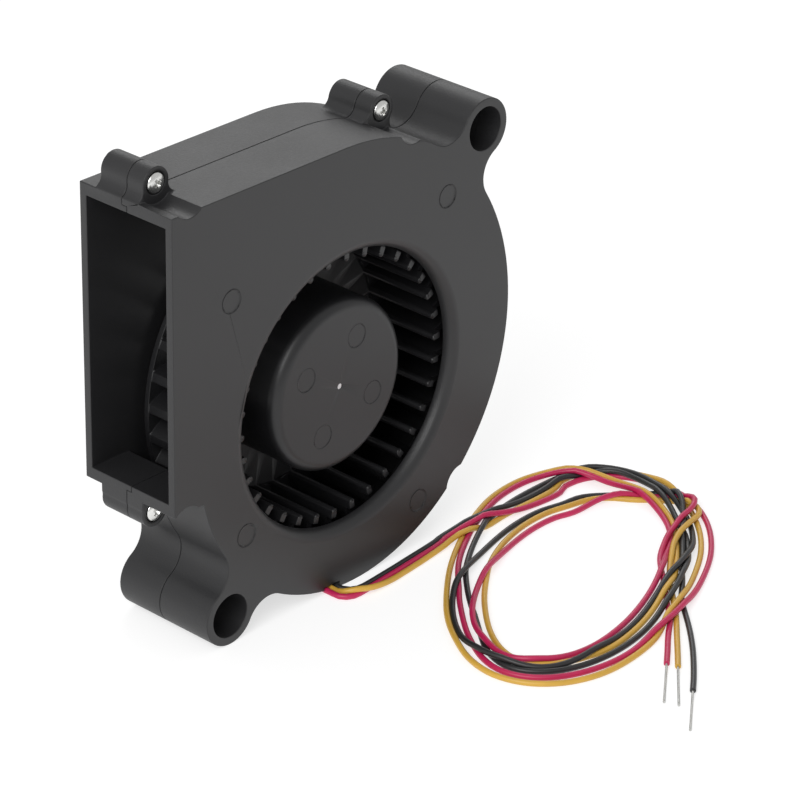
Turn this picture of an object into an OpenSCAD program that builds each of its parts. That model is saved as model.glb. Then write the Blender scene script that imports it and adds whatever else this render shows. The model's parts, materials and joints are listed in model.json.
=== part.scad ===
// DC blower fan: two-part scroll housing, external-rotor motor, forward-curved impeller,
// and three flying leads with stripped ends. The front (inlet) face looks along -Y, the
// outlet looks along -X, and the fan stands on its scroll and lower ear at Z = 0.

/* [Housing] */
// Depth of the housing, front face to back face
body_depth = 31.5; // [28:0.5:40]
// Depth of the seam between the front cover and the rear casing, from the front face
seam_depth = 17; // [15:0.5:19]
// Length of the lap joint inside the seam
lap_length = 1.7; // [1:0.1:2.5]
// Thickness of the front plate
front_wall = 2.3; // [1.8:0.1:3]
// Thickness of the back plate
back_wall = 2.2; // [1.8:0.1:3]
// Thickness of the scroll wall
scroll_wall = 3.2; // [2.6:0.1:4]
// Radius of the lower scroll arc
scroll_low_r = 55.2; // [53:0.2:58]
// Distance from the spin axis to the outlet face
outlet_reach = 62.2; // [56:0.5:75]
// Distance from the spin axis down to the underside of the outlet duct
duct_drop = 12.1; // [8:0.5:16]

/* [Inlet] */
// Radius of the inlet throat
throat_r = 37.8; // [36.5:0.1:39]
// Radius of the rounded inlet rim
rim_round = 3; // [2:0.1:3.4]
// Depth of the inlet lip from the front face
lip_depth = 3.5; // [3.4:0.1:3.7]

/* [Mounting ears] */
// Bore radius of the mounting ears
ear_bore_r = 5.9; // [4:0.1:6.5]
// Wall around the bore of a mounting ear
ear_wall = 2.3; // [1.8:0.1:3]
// Radius of the hollow where an ear meets the scroll
ear_fillet = 7.6; // [5:0.2:9]
// Upper ear, distance right of the spin axis
ear_right = 48.2; // [46:0.2:52]
// Upper ear, distance above the spin axis
ear_up = 57.4; // [54:0.2:60]
// Lower ear, distance left of the spin axis
ear_left = 43.4; // [41:0.2:46]

/* [Housing screws] */
// Radius of a screw boss
boss_r = 4.2; // [3.8:0.1:4.6]
// Depth of the front face of the screw bosses
boss_front = 11.5; // [10:0.5:13]
// Depth of the rear end of the screw bosses
boss_rear = 26; // [24:0.5:27]
// Radius of the hollow beside a screw boss
boss_fillet = 3; // [2:0.2:4]
// Shank radius of a housing screw
screw_r = 1.45; // [1.2:0.05:1.6]
// Head radius of a housing screw
screw_head_r = 2.65; // [2.3:0.05:2.8]
// Head height of a housing screw
screw_head_h = 1.6; // [1.2:0.1:2]
// Length of a housing screw under its head
screw_length = 12; // [8:0.5:13]

/* [Impeller] */
// Number of blades
blade_count = 34; // [24:1:40]
// Radius where the blades begin
blade_in_r = 34.5; // [33:0.1:35]
// Outer radius of the impeller
wheel_r = 46; // [44:0.2:47]
// Thickness of a blade
blade_t = 1.8; // [1:0.1:2]
// Depth of the raised inner ends of the blades
blade_front = 4; // [3.9:0.1:5]
// How far the rest of a blade lies behind its raised inner end
blade_step = 2; // [1:0.1:3]
// Length of the raised inner end of a blade
blade_tip = 2.9; // [2:0.1:3.2]
// Radius of the hub cup
hub_r = 23.5; // [22.5:0.1:26]
// Rounded edge of the hub cup
hub_round = 3; // [2:0.1:4]
// Depth of the hub face behind the front face
hub_recess = 4.2; // [3.8:0.1:6]
// Wall of the hub cup
hub_wall = 1.6; // [1.2:0.1:2]
// Thickness of the disc that carries the blades
disc_t = 1.5; // [1.2:0.1:2]
// Gap between that disc and the back plate
disc_gap = 1.8; // [1.4:0.1:2.4]

/* [Motor] */
// Radius of the shaft
shaft_r = 1.5; // [1:0.1:1.6]
// Wall of the steel rotor yoke
yoke_wall = 1.2; // [0.8:0.1:1.4]
// Radial thickness of the ring magnet
magnet_t = 2.4; // [1.8:0.1:2.8]
// Air gap between magnet and stator
air_gap = 0.35; // [0.25:0.05:0.5]
// How far the lamination stack ends inside each end of the magnet
stack_inset = 2.1; // [1.6:0.1:3]
// Outer radius of a ball bearing
bearing_r = 4; // [3.5:0.1:4.5]
// Width of a ball bearing
bearing_w = 4; // [3:0.1:4]
// Outer radius of the brass bearing tube
tube_r = 5.2; // [5:0.1:5.6]
// Radius of the circuit board
board_r = 18.4; // [17:0.1:18.6]
// Thickness of the circuit board
board_t = 1.6; // [1:0.1:1.6]

/* [Leads] */
// Outer diameter of a lead's insulation
lead_d = 1.6; // [1.4:0.05:1.6]
// Diameter of the stripped, tinned strands
strand_d = 0.8; // [0.5:0.05:0.9]
// Length of the stripped end of a lead
strip_length = 17; // [8:0.5:20]
// Height of the loops of lead that lie on each other
loops_h = 5.6; // [3.4:0.2:8]

/* [Hidden] */

$fn = 96;
cut = 0.01;            // how far a cutting shape reaches past the face that it cuts
snug = 0.02;           // radial clearance of a part pressed or slid into its seat
running = 0.05;        // radial clearance between turning and standing parts
seam_gap = 0.05;       // half of the gap between the two housing halves

// Spin axis, in the frame of the whole fan
ear_r = ear_bore_r + ear_wall;
scroll_low = [1.6, -0.2];
scroll_high = [-2.9, 5.4];
base_drop = scroll_low_r - scroll_low.y;
axis_z = base_drop;
scroll_high_r = scroll_low_r + norm(scroll_high - scroll_low);
axis_x = (outlet_reach - scroll_high.x - scroll_high_r) / 2;   // the housing is centred on X
duct_top = scroll_high.y + scroll_high_r;
ears = [[ear_right, ear_up], [-ear_left, ear_r - base_drop]];
ear_hosts = [[scroll_high, scroll_high_r], [scroll_low, scroll_low_r]];

// Screw bosses and the walls that they stand on; a flat wall is a very large circle
flat_r = 1000;
boss_lift = 3.8;       // height of a screw axis above the wall that carries the boss
top_screw = [6 - outlet_reach, duct_top + boss_lift];
under_screw = [4.3 - outlet_reach, -duct_drop - boss_lift];
right_screw_angle = 68.2;
low_screw_angle = -46.5;
function on_scroll(angle) = scroll_high + (scroll_high_r + boss_lift) * [cos(angle), sin(angle)];
screws = [top_screw, on_scroll(right_screw_angle), on_scroll(low_screw_angle), under_screw];
screw_hosts = [[[top_screw.x, duct_top - flat_r], flat_r], [scroll_high, scroll_high_r],
    [scroll_high, scroll_high_r], [[under_screw.x, flat_r - duct_drop], flat_r]];
driver_r = boss_r + 1.2;                 // room for a screwdriver in front of each boss
counterbore_r = screw_head_r + 0.35;
counterbore_depth = 0.8;
head_seat = boss_front + counterbore_depth;

// Inside of the housing
back_face = body_depth - back_wall;      // depth of the inner face of the back plate
pedestal_r = board_r + 0.6;
board_rear = back_face - 2.8;            // the board rests on the pedestal
board_front = board_rear - board_t;

// Lead way: a slot along the back plate, then a groove under the scroll
lead_pitch = lead_d + 0.15;
lead_way_x = -6.5;
lead_way_w = 2 * lead_pitch + lead_d + 0.5;
lead_way_depth = lead_d + 0.3;
lead_bridge = 1;                         // wall left under the slot in the back plate
lead_hole_z = -13;                       // where the leads pass through the pedestal
lead_xs = [for (i = [-1, 0, 1]) lead_way_x + i * lead_pitch];   // red, yellow, black

// Rotor
hub_in_r = hub_r - hub_wall;
yoke_r = hub_in_r - snug;
magnet_r = yoke_r - yoke_wall - snug;
magnet_in_r = magnet_r - magnet_t;
stator_r = magnet_in_r - air_gap;
hub_inner_face = hub_recess + hub_wall;
disc_rear = back_face - disc_gap;
disc_front = disc_rear - disc_t;
yoke_front = hub_inner_face + 0.05;
yoke_rear = board_front - 2.5;
magnet_front = 9.4;
magnet_rear = yoke_rear - 0.8;
insert_r = 3.2;
insert_rear = yoke_front + yoke_wall + 0.6;
nose_r = 0.75;                           // slim end of the shaft, seen in the hub's centre hole
stack_front = magnet_front + stack_inset;
stack_rear = magnet_rear - stack_inset;
insulator_t = 0.8;
tube_front = 8.9;
tube_shoulder_r = 3.1;
front_bearing_y = tube_front + 0.6;
shaft_rear = body_depth - 1.9;
clip_t = 0.4;
clip_y = shaft_rear - clip_t - 0.8;
rear_bearing_y = clip_y - 0.3 - bearing_w;
groove_r = shaft_r - 0.35;
cap_t = 0.8;

module at_axis() translate([axis_x, -body_depth / 2, axis_z]) children();

// A flat outline drawn in X and Z, from one depth to another
module slab(from, to) translate([0, to, 0]) rotate([90, 0, 0]) linear_extrude(to - from) children();

// A profile drawn as radius and depth, turned about the spin axis
module turned(fine = 120) rotate([-90, 0, 0]) rotate_extrude($fn = fine) children();

// A band of a turned part, from one radius and depth to another
module band(r1, r2, y1, y2) translate([r1, y1]) square([r2 - r1, y2 - y1]);

module rod(at, r, from, to) translate([at.x, from, at.y]) rotate([-90, 0, 0]) cylinder(r = r, h = to - from);

// Centre of the circle of radius f that touches two circles from outside
function touching(c1, r1, c2, r2, f, side) =
    let (d = norm(c2 - c1), u = (c2 - c1) / d, a = r1 + f, b = r2 + f,
         along = (a * a - b * b + d * d) / (2 * d), across = sqrt(a * a - along * along))
    c1 + along * u + side * across * [-u.y, u.x];

// The hollow blends on both sides of a boss that stands on a round wall. The slip makes each
// hollow cross the two circles, where an exact tangent would leave slivers.
web_slip = 0.02;
module webs(at, r, host, f) for (side = [-1, 1]) {
    middle = touching(at, r, host[0], host[1], f, side);
    foot = host[0] + (host[1] - 1) * (middle - host[0]) / norm(middle - host[0]);
    root = host[0] + (host[1] - 1) * (at - host[0]) / norm(at - host[0]);
    difference() {
        polygon(side > 0 ? [at, root, foot, middle] : [at, middle, foot, root]);
        translate(middle) circle(r = f + web_slip, $fn = 64);
    }
}

// Area inside the scroll and its outlet duct, moved in by a wall
module scroll(inset = 0, mouth = 0) {
    translate(scroll_low) circle(r = scroll_low_r - inset, $fn = 240);
    turn = scroll_low - scroll_high;
    reach = 2 * scroll_high_r;
    intersection() {
        translate(scroll_high) circle(r = scroll_high_r - inset, $fn = 240);
        polygon([scroll_high, scroll_high + [0, reach], scroll_high + [reach, reach],
            scroll_high + [reach, -reach / 2], scroll_high + reach * turn / norm(turn)]);
    }
    translate([-outlet_reach - mouth, inset - duct_drop])
        square([outlet_reach + mouth + scroll_high.x, duct_drop + duct_top - 2 * inset]);
}

module ear_outline() for (i = [0, 1]) {
    translate(ears[i]) circle(r = ear_r);
    webs(ears[i], ear_r, ear_hosts[i], ear_fillet);
}

module boss_outline() intersection() {
    for (i = [0:3]) {
        translate(screws[i]) circle(r = boss_r, $fn = 64);
        webs(screws[i], boss_r, screw_hosts[i], boss_fillet);
    }
    translate([-outlet_reach, -2 * scroll_high_r]) square(4 * scroll_high_r);
}

// Outer form of the housing between two depths, without the cavity
module shell(from, to) {
    slab(from, to) {
        scroll();
        ear_outline();
    }
    slab(max(from, boss_front), min(to, boss_rear)) difference() {
        boss_outline();
        scroll(scroll_wall / 2);
    }
}

module shell_holes() {
    for (ear = ears) rod(ear, ear_bore_r, -cut, body_depth + cut);
    // groove for the leads under the scroll
    translate([lead_way_x - lead_way_w / 2, -cut, -base_drop - 1])
        cube([lead_way_w, body_depth + 2 * cut, 1 + lead_way_depth]);
}

mark_r = 3.1;          // ejector marks on the front face
mark_sink = 0.12;
face_marks = [[34.5, 43], [-42.6, 39.9], [-37.6, -26.4], [25.9, -41.4]];

module front_cover() color([0.17, 0.17, 0.18]) at_axis() difference() {
    union() {
        difference() {
            shell(0, seam_depth - seam_gap);
            slab(front_wall, seam_depth) scroll(scroll_wall, 1);
            // rebate that takes the tongue of the rear casing
            slab(seam_depth - lap_length - seam_gap, seam_depth) scroll(scroll_wall / 2 - snug, 1);
        }
        turned() band(throat_r, throat_r + rim_round + 0.6, front_wall - cut, lip_depth);
    }
    turned() {
        band(0, throat_r, -1, lip_depth + 1);
        difference() {
            band(throat_r - 1, throat_r + rim_round, -cut, rim_round);
            translate([throat_r + rim_round, rim_round]) circle(r = rim_round, $fn = 96);
        }
    }
    shell_holes();
    for (screw = screws) {
        rod(screw, driver_r, -cut, boss_front);
        rod(screw, counterbore_r, boss_front - cut, head_seat);
        rod(screw, screw_r + 0.25, boss_front, seam_depth + cut);
    }
    for (mark = face_marks) rod(mark, mark_r, -cut, mark_sink);
}

module rear_casing() color([0.14, 0.14, 0.15]) at_axis() difference() {
    union() {
        difference() {
            union() {
                shell(seam_depth + seam_gap, body_depth);
                // tongue that reaches into the front cover
                slab(seam_depth - lap_length + seam_gap, seam_depth + 1) intersection() {
                    scroll(scroll_wall / 2 + snug);
                    translate([-outlet_reach, -2 * scroll_high_r]) square(4 * scroll_high_r);
                }
            }
            slab(seam_depth - lap_length - 1, back_face) scroll(scroll_wall, 1);
        }
        // pedestal that carries the circuit board, and the floor of the lead slot
        turned() band(tube_r + snug, pedestal_r, board_rear, back_face + cut);
        translate([lead_way_x - lead_way_w / 2 - 1, body_depth - lead_way_depth - lead_bridge, -base_drop + 3])
            cube([lead_way_w + 2, lead_way_depth + lead_bridge - cut, base_drop - 3 - pedestal_r + 3]);
    }
    turned() {
        band(0, tube_r + snug, seam_depth, body_depth - cap_t);
        band(0, tube_r + 0.8, body_depth - cap_t, body_depth + 1);
    }
    shell_holes();
    for (screw = screws) rod(screw, screw_r + snug, seam_depth - cut, head_seat + screw_length + 0.3);
    slab(body_depth - label_sink, body_depth + 1) label_outline(0.2);
    // slot for the leads along the back, and the hole where they come out from the board
    translate([lead_way_x - lead_way_w / 2, body_depth - lead_way_depth, -base_drop - 1])
        cube([lead_way_w, lead_way_depth + 1, base_drop + 1 + lead_hole_z + lead_d]);
    translate([lead_way_x - lead_way_w / 2, board_rear - 1, lead_hole_z - lead_d])
        cube([lead_way_w, body_depth - board_rear + 2, 2 * lead_d]);
}

module screw(at) difference() {
    union() {
        rod(at, screw_r, head_seat - cut, head_seat + screw_length);
        translate([at.x, 0, at.y]) turned(64) intersection() {
            translate([0, head_seat + 2.2]) circle(r = 3.8);
            band(0, screw_head_r, head_seat - screw_head_h, head_seat);
        }
    }
    for (turn = [0, 90]) translate([at.x, head_seat - screw_head_h, at.y]) rotate([0, 30 + turn, 0])
        cube([3, 1.8, 0.6], center = true);
}

module housing_screws() color([0.8, 0.81, 0.82]) at_axis() for (at = screws) screw(at);

// One forward-curved blade: an arc between the inner and outer radius with a round inner end
blade_bend = 14;
module blade() {
    middle = [blade_in_r + 1.5, blade_bend];
    difference() {
        intersection() {
            translate(middle) circle(r = blade_bend + blade_t / 2, $fn = 64);
            circle(r = wheel_r - 0.2, $fn = 180);
            translate([blade_in_r + blade_t / 2, -blade_t]) square([wheel_r, blade_bend]);
        }
        translate(middle) circle(r = blade_bend - blade_t / 2, $fn = 64);
    }
    translate([blade_in_r + blade_t / 2, 0]) circle(r = blade_t / 2, $fn = 24);
}

first_blade = 97.8;    // angle of the first blade, as the fan comes to rest
module blades() for (i = [0:blade_count - 1]) rotate(first_blade + i * 360 / blade_count) blade();

hub_mark_r = 3.2;
hub_marks_r = 13.6;
module impeller() color([0.16, 0.16, 0.17]) at_axis() difference() {
    union() {
        turned() {
            difference() {
                union() {
                    band(0, hub_r - hub_round, hub_recess, disc_rear);
                    band(0, hub_r, hub_recess + hub_round, disc_rear);
                    translate([hub_r - hub_round, hub_recess + hub_round]) circle(r = hub_round, $fn = 64);
                }
                band(-hub_r, 0, 0, body_depth);
                band(0, hub_in_r, hub_inner_face, disc_rear + 1);
            }
            band(hub_in_r, wheel_r, disc_front, disc_rear);
            band(wheel_r - 1.6, wheel_r, blade_front + blade_step, blade_front + blade_step + 2);
        }
        slab(blade_front + blade_step, disc_front + cut) blades();
        slab(blade_front, blade_front + blade_step + 1) intersection() {
            blades();
            circle(r = blade_in_r + blade_tip);
        }
    }
    rod([0, 0], nose_r + 0.1, 0, hub_inner_face + 1);
    for (i = [0:3]) rotate([0, 26.4 + 90 * i, 0]) rod([hub_marks_r, 0], hub_mark_r, 0, hub_recess + mark_sink);
}

module rotor_yoke() color([0.62, 0.63, 0.65]) at_axis() turned() {
    band(insert_r + snug, yoke_r, yoke_front, yoke_front + yoke_wall);
    band(yoke_r - yoke_wall, yoke_r, yoke_front, yoke_rear);
}

module magnet_ring() color([0.25, 0.22, 0.21]) at_axis() turned() band(magnet_in_r, magnet_r, magnet_front, magnet_rear);

module hub_insert() color([0.78, 0.65, 0.36]) at_axis() turned() band(shaft_r + snug, insert_r, yoke_front, insert_rear);

module shaft() color([0.75, 0.76, 0.78]) at_axis() turned() {
    band(0, nose_r, hub_recess + 0.15, yoke_front + 0.2);
    band(0, shaft_r, yoke_front + 0.2 - cut, clip_y);
    band(0, groove_r, clip_y - cut, clip_y + clip_t + cut);
    band(0, shaft_r, clip_y + clip_t, shaft_rear);
}

spring_wire = 0.35;
module preload_spring() color([0.7, 0.7, 0.72]) at_axis() turned() {
    for (i = [0:1]) translate([shaft_r + 0.5, insert_rear + 0.2 + i * 0.45]) circle(r = spring_wire / 2, $fn = 24);
    band(shaft_r + 0.45, shaft_r + 0.55, insert_rear + 0.2, insert_rear + 0.65);
}

race_in_r = 2.15;      // outer radius of an inner race
race_out_r = 3.35;     // inner radius of an outer race
ball_r = 0.58;
ball_count = 7;
ball_path_r = (race_in_r + race_out_r) / 2;

module inner_race(y) turned(72) difference() {
    band(shaft_r + snug, race_in_r, y, y + bearing_w);
    translate([ball_path_r, y + bearing_w / 2]) circle(r = ball_r + running, $fn = 48);
}

module outer_race(y) turned(72) difference() {
    band(race_out_r, bearing_r - snug, y, y + bearing_w);
    translate([ball_path_r, y + bearing_w / 2]) circle(r = ball_r + running, $fn = 48);
}

module front_bearing_inner() color([0.8, 0.8, 0.82]) at_axis() inner_race(front_bearing_y);
module front_bearing_outer() color([0.72, 0.72, 0.75]) at_axis() outer_race(front_bearing_y);
module rear_bearing_inner() color([0.8, 0.8, 0.82]) at_axis() inner_race(rear_bearing_y);
module rear_bearing_outer() color([0.72, 0.72, 0.75]) at_axis() outer_race(rear_bearing_y);

module bearing_balls() color([0.85, 0.85, 0.88]) at_axis()
    for (y = [front_bearing_y, rear_bearing_y]) for (i = [0:ball_count - 1])
        rotate([0, i * 360 / ball_count, 0]) translate([ball_path_r, y + bearing_w / 2, 0]) sphere(r = ball_r, $fn = 24);

module shaft_washer() color([0.72, 0.6, 0.4]) at_axis() turned(48)
    band(shaft_r + snug, race_in_r + 0.2, rear_bearing_y + bearing_w, clip_y);

module shaft_clip() color([0.5, 0.51, 0.53]) at_axis() difference() {
    turned(48) band(groove_r + snug, 2.9, clip_y + snug, clip_y + clip_t);
    translate([0, clip_y - 1, -groove_r * 0.8]) cube([4, 3, groove_r * 1.6]);
}

module bearing_tube() color([0.78, 0.66, 0.38]) at_axis() turned() difference() {
    band(tube_shoulder_r, tube_r, tube_front, body_depth - cap_t - 0.1);
    band(0, bearing_r, tube_front - 1, front_bearing_y + bearing_w);
    band(0, bearing_r, rear_bearing_y, body_depth);
}

module tube_cap() color([0.1, 0.1, 0.1]) at_axis() turned()
    band(0, tube_r + 0.8 - snug, body_depth - cap_t, body_depth - 0.1);

pole_count = 4;
pole_neck_w = 4;
pole_shoe_t = 2;
slot_w = 2.4;
core_hub_r = tube_r + 2;
module pole_shape(neck, hub, grow = 0) {
    circle(r = hub + grow);
    intersection() {
        circle(r = stator_r - (grow > 0 ? 0.3 : 0));
        for (i = [0:pole_count / 2 - 1]) rotate(45 + i * 360 / pole_count) square([3 * stator_r, neck + 2 * grow], center = true);
    }
    difference() {
        circle(r = stator_r - (grow > 0 ? 0.3 : 0));
        circle(r = stator_r - pole_shoe_t);
        for (i = [0:pole_count / 2 - 1]) rotate(i * 360 / pole_count) square([3 * stator_r, slot_w], center = true);
    }
}

module stator_core() color([0.45, 0.46, 0.48]) at_axis() slab(stack_front, stack_rear) difference() {
    pole_shape(pole_neck_w, core_hub_r);
    circle(r = tube_r + snug);
}

// One insulator half: a plate on an end of the stack with a rim that keeps the windings in
module insulator(plate_from, plate_to, rim_from, rim_to) {
    slab(plate_from, plate_to) difference() {
        pole_shape(pole_neck_w, core_hub_r, insulator_t);
        circle(r = tube_r + snug);
    }
    slab(rim_from, rim_to) difference() {
        pole_shape(pole_neck_w, core_hub_r, insulator_t);
        circle(r = stator_r - pole_shoe_t + 0.4);
    }
    turned() band(tube_r + snug, tube_r + 1.2, rim_from, rim_to);
}

rim_h = 1.1;
module front_insulator() color([0.85, 0.84, 0.78]) at_axis()
    insulator(stack_front - insulator_t, stack_front, stack_front - insulator_t - rim_h, stack_front - insulator_t + cut);
module rear_insulator() color([0.85, 0.84, 0.78]) at_axis()
    insulator(stack_rear, stack_rear + insulator_t, stack_rear + insulator_t - cut, stack_rear + insulator_t + rim_h);

coil_t = 1.5;
coil_in = [pole_neck_w / 2 + insulator_t + snug, (stack_rear - stack_front) / 2 + insulator_t + snug];
coil_out = coil_in + [coil_t, 1];
coil_from = core_hub_r + insulator_t + 0.4;
coil_to = sqrt(pow(stator_r - pole_shoe_t, 2) - pow(coil_out.x, 2)) - 0.2;
module stator_coils() color([0.72, 0.4, 0.18]) at_axis() for (i = [0:pole_count - 1]) rotate([0, 45 + i * 90, 0])
    translate([coil_from, (stack_front + stack_rear) / 2, 0]) rotate([0, 90, 0]) linear_extrude(coil_to - coil_from) difference() {
        coil_loop(coil_out.x, coil_out.y);
        square(2 * coil_in, center = true);
    }

// A rounded loop outline of the given half width and half height
module coil_loop(w, h) {
    square([2 * w, 2 * (h - 1)], center = true);
    square([2 * (w - 1), 2 * h], center = true);
    for (x = [-1, 1]) for (y = [-1, 1]) translate([x * (w - 1), y * (h - 1)]) circle(r = 1, $fn = 32);
}

module circuit_board() color([0.1, 0.35, 0.16]) at_axis() slab(board_front, board_rear) difference() {
    circle(r = board_r);
    circle(r = tube_r + 0.1);
    for (x = lead_xs) translate([x, lead_hole_z]) circle(r = lead_d / 2 + 0.05, $fn = 24);
}

module on_board(x, z, w, h, t) translate([x - w / 2, board_front - t, z - h / 2]) cube([w, t, h]);

module hall_sensor() color([0.09, 0.09, 0.09]) at_axis() on_board(0, 15.6, 4, 3, 1.5);
module driver_chip() color([0.08, 0.08, 0.09]) at_axis() on_board(11.5, 0, 3.9, 4.9, 1.6);
module board_capacitor() color([0.1, 0.11, 0.14]) at_axis() on_board(-11.5, 1, 4.2, 4.2, 2);
module board_resistors() color([0.12, 0.12, 0.13]) at_axis() for (i = [0:3]) on_board(9 + i * 2.2 - 3, -9 + i * 0.6, 1.2, 2, 0.6);

// Joints of the leads on the front of the board, with the bare strands inside
module lead_solder() color([0.75, 0.76, 0.78]) at_axis() for (x = lead_xs)
    translate([x, 0, lead_hole_z]) turned(32) intersection() {
        translate([0, board_front]) circle(r = lead_d / 2 - 0.05);
        band(0, lead_d, board_front - lead_d, board_front);
    }

// Blank label in a shallow recess of the back, cut away over the slot for the leads
label_r = pedestal_r - 1;
label_sink = 0.15;
module label_outline(grow = 0) difference() {
    circle(r = label_r + grow);
    circle(r = tube_r + 2 - grow);
    translate([lead_way_x - lead_way_w / 2 - 0.5 + grow, -2 * board_r])
        square([lead_way_w + 1 - 2 * grow, 2 * board_r + lead_hole_z + 2 * lead_d - grow]);
}

module rear_label() color([0.75, 0.76, 0.78]) at_axis() slab(body_depth - label_sink, body_depth - 0.05) label_outline();

// Leads
black = [0.07, 0.07, 0.07];
red = [0.62, 0.05, 0.16];
yellow = [0.82, 0.58, 0.16];
lead_sides = 8;

function unit(v) = v / norm(v);
function heading(path, i) = unit(path[min(i + 1, len(path) - 1)] - path[max(i - 1, 0)]);
// A round tube along a path of points, as one closed body
module tube(path, d) {
    n = len(path);
    rings = [for (i = [0:n - 1])
        let (t = heading(path, i), side = abs(t.z) > 0.9 ? [0, 1, 0] : [0, 0, 1], a = unit(cross(t, side)), b = cross(a, t))
        for (k = [0:lead_sides - 1]) path[i] + d / 2 * (cos(k * 360 / lead_sides) * a + sin(k * 360 / lead_sides) * b)];
    sides = [for (i = [0:n - 2]) for (k = [0:lead_sides - 1])
        let (m = (k + 1) % lead_sides, p = i * lead_sides)
        each [[p + k, p + lead_sides + m, p + m], [p + k, p + lead_sides + k, p + lead_sides + m]]];
    caps = [[for (k = [0:lead_sides - 1]) k], [for (k = [lead_sides - 1:-1:0]) (n - 1) * lead_sides + k]];
    polyhedron(rings, concat(sides, caps));
}

// Leads inside the fan: out of the board, along the slot in the back, down, and forward
// through the groove under the scroll to its front end
lead_back_y = body_depth - lead_way_depth + lead_d / 2 + 0.1;
lead_low_z = lead_d / 2 - base_drop;
lead_bend = 2.4;
module lead_inside(i) at_axis() {
    x = lead_xs[i];
    tube([[x, board_front + 0.05, lead_hole_z], [x, lead_back_y - 1.6, lead_hole_z],
        [x, lead_back_y - 0.5, lead_hole_z - 0.5], [x, lead_back_y, lead_hole_z - 1.7],
        [x, lead_back_y, lead_low_z + lead_bend], [x, lead_back_y - 0.3 * lead_bend, lead_low_z + 0.3 * lead_bend],
        [x, lead_back_y - lead_bend, lead_low_z], [x, 0, lead_low_z]], lead_d);
}
module lead_red_inside() color(red) lead_inside(0);
module lead_yellow_inside() color(yellow) lead_inside(1);
module lead_black_inside() color(black) lead_inside(2);

// Route of each lead on the surface that the fan stands on: from under the front edge to
// the loops, and from the loops to the end of the insulation
low = lead_d / 2;
front_edge = -body_depth / 2;
function from_groove(i, rest) = let (x = axis_x + lead_xs[i])
    concat([[x, front_edge, low], [x, front_edge - 1.9, low]], rest);
black_run = from_groove(2, [[-2.5, -19.4, low], [-0.2, -20.5, low], [3.4, -20.6, low],
    [8, -20.3, low], [14, -19.9, low], [20, -19.4, low], [26, -19, low], [32, -18.6, low], [38, -18.3, low]]);
red_run = from_groove(0, [[-6.9, -19.6, low], [-5.7, -21.5, low], [-2.9, -22.5, low],
    [2, -22.4, low], [8, -22, low], [14, -21.6, low], [20, -21.1, low], [26, -20.7, low], [32, -20.3, low],
    [38, -20, low]]);
yellow_run = from_groove(1, [[-5.1, -19, 1.3], [-4.4, -20.9, 2.3], [-2.2, -22.7, 2.7],
    [2, -23.8, 1.9], [8, -23.9, low], [14, -23.4, low], [20, -22.9, low], [26, -22.4, low], [32, -22, low],
    [38, -21.7, low]]);
red_tail = [[50, -81.2, low], [46, -84.8, low], [41.5, -88.7, low], [36.5, -92.8, low], [31.5, -97, low], [26.6, -100.9, low]];
yellow_tail = [[51.5, -83, low], [47.5, -86.7, low], [42.5, -91, low], [37.5, -95.3, low], [32.5, -99.6, low], [27.5, -103.8, low]];
black_tail = [[56, -82.4, low], [51, -87.4, low], [46, -92.5, low], [41, -97.3, low], [36, -101.8, low],
    [31, -106, low], [26, -110, low], [21.2, -113.6, low]];
module lead_black() color(black) tube(black_run, lead_d);
module lead_red() color(red) tube(red_run, lead_d);
module lead_yellow() color(yellow) tube(yellow_run, lead_d);
module lead_black_tail() color(black) tube(black_tail, lead_d);
module lead_red_tail() color(red) tube(red_tail, lead_d);
module lead_yellow_tail() color(yellow) tube(yellow_tail, lead_d);

// Outer form of the loops: a long round ring that lies on the surface
loops_middle = [43, -51.6];
loops_long = 53.7;
loops_wide = 30.3;
loops_turn = 29.4;
loops_out = [[5, 6], [1.5, -1.5]];      // growth of the outer outline, and where its middle moves
loops_in = [[-8, -11], [0, -3]];
module loops_outline(fit) translate(fit[1]) polygon([for (t = [0:6:354])
    [(loops_long + fit[0].x) * cos(t), (loops_wide + fit[0].y) * sin(t)]]);
module lead_loops() color(black) translate(loops_middle) rotate(loops_turn) linear_extrude(loops_h) difference() {
    loops_outline(loops_out);
    loops_outline(loops_in);
}

// Twisted bare strands, from the end of the insulation down to the surface
module stripped(tail) {
    last = len(tail) - 1;
    ahead = unit(tail[last] - tail[last - 1]) * strip_length;
    rest = [tail[last].x + ahead.x, tail[last].y + ahead.y, strand_d / 2];
    tube([tail[last], (tail[last] + rest) / 2, rest], strand_d);
}
module lead_black_end() color([0.75, 0.76, 0.78]) stripped(black_tail);
module lead_red_end() color([0.75, 0.76, 0.78]) stripped(red_tail);
module lead_yellow_end() color([0.75, 0.76, 0.78]) stripped(yellow_tail);

front_cover();
rear_casing();
housing_screws();
impeller();
rotor_yoke();
magnet_ring();
hub_insert();
shaft();
preload_spring();
front_bearing_inner();
front_bearing_outer();
rear_bearing_inner();
rear_bearing_outer();
bearing_balls();
shaft_washer();
shaft_clip();
bearing_tube();
tube_cap();
stator_core();
front_insulator();
rear_insulator();
stator_coils();
circuit_board();
hall_sensor();
driver_chip();
board_capacitor();
board_resistors();
lead_solder();
rear_label();
lead_black_inside();
lead_red_inside();
lead_yellow_inside();
lead_black();
lead_red();
lead_yellow();
lead_loops();
lead_black_tail();
lead_red_tail();
lead_yellow_tail();
lead_black_end();
lead_red_end();
lead_yellow_end();
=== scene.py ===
"""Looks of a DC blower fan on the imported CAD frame. All sizes are in metres."""

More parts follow.
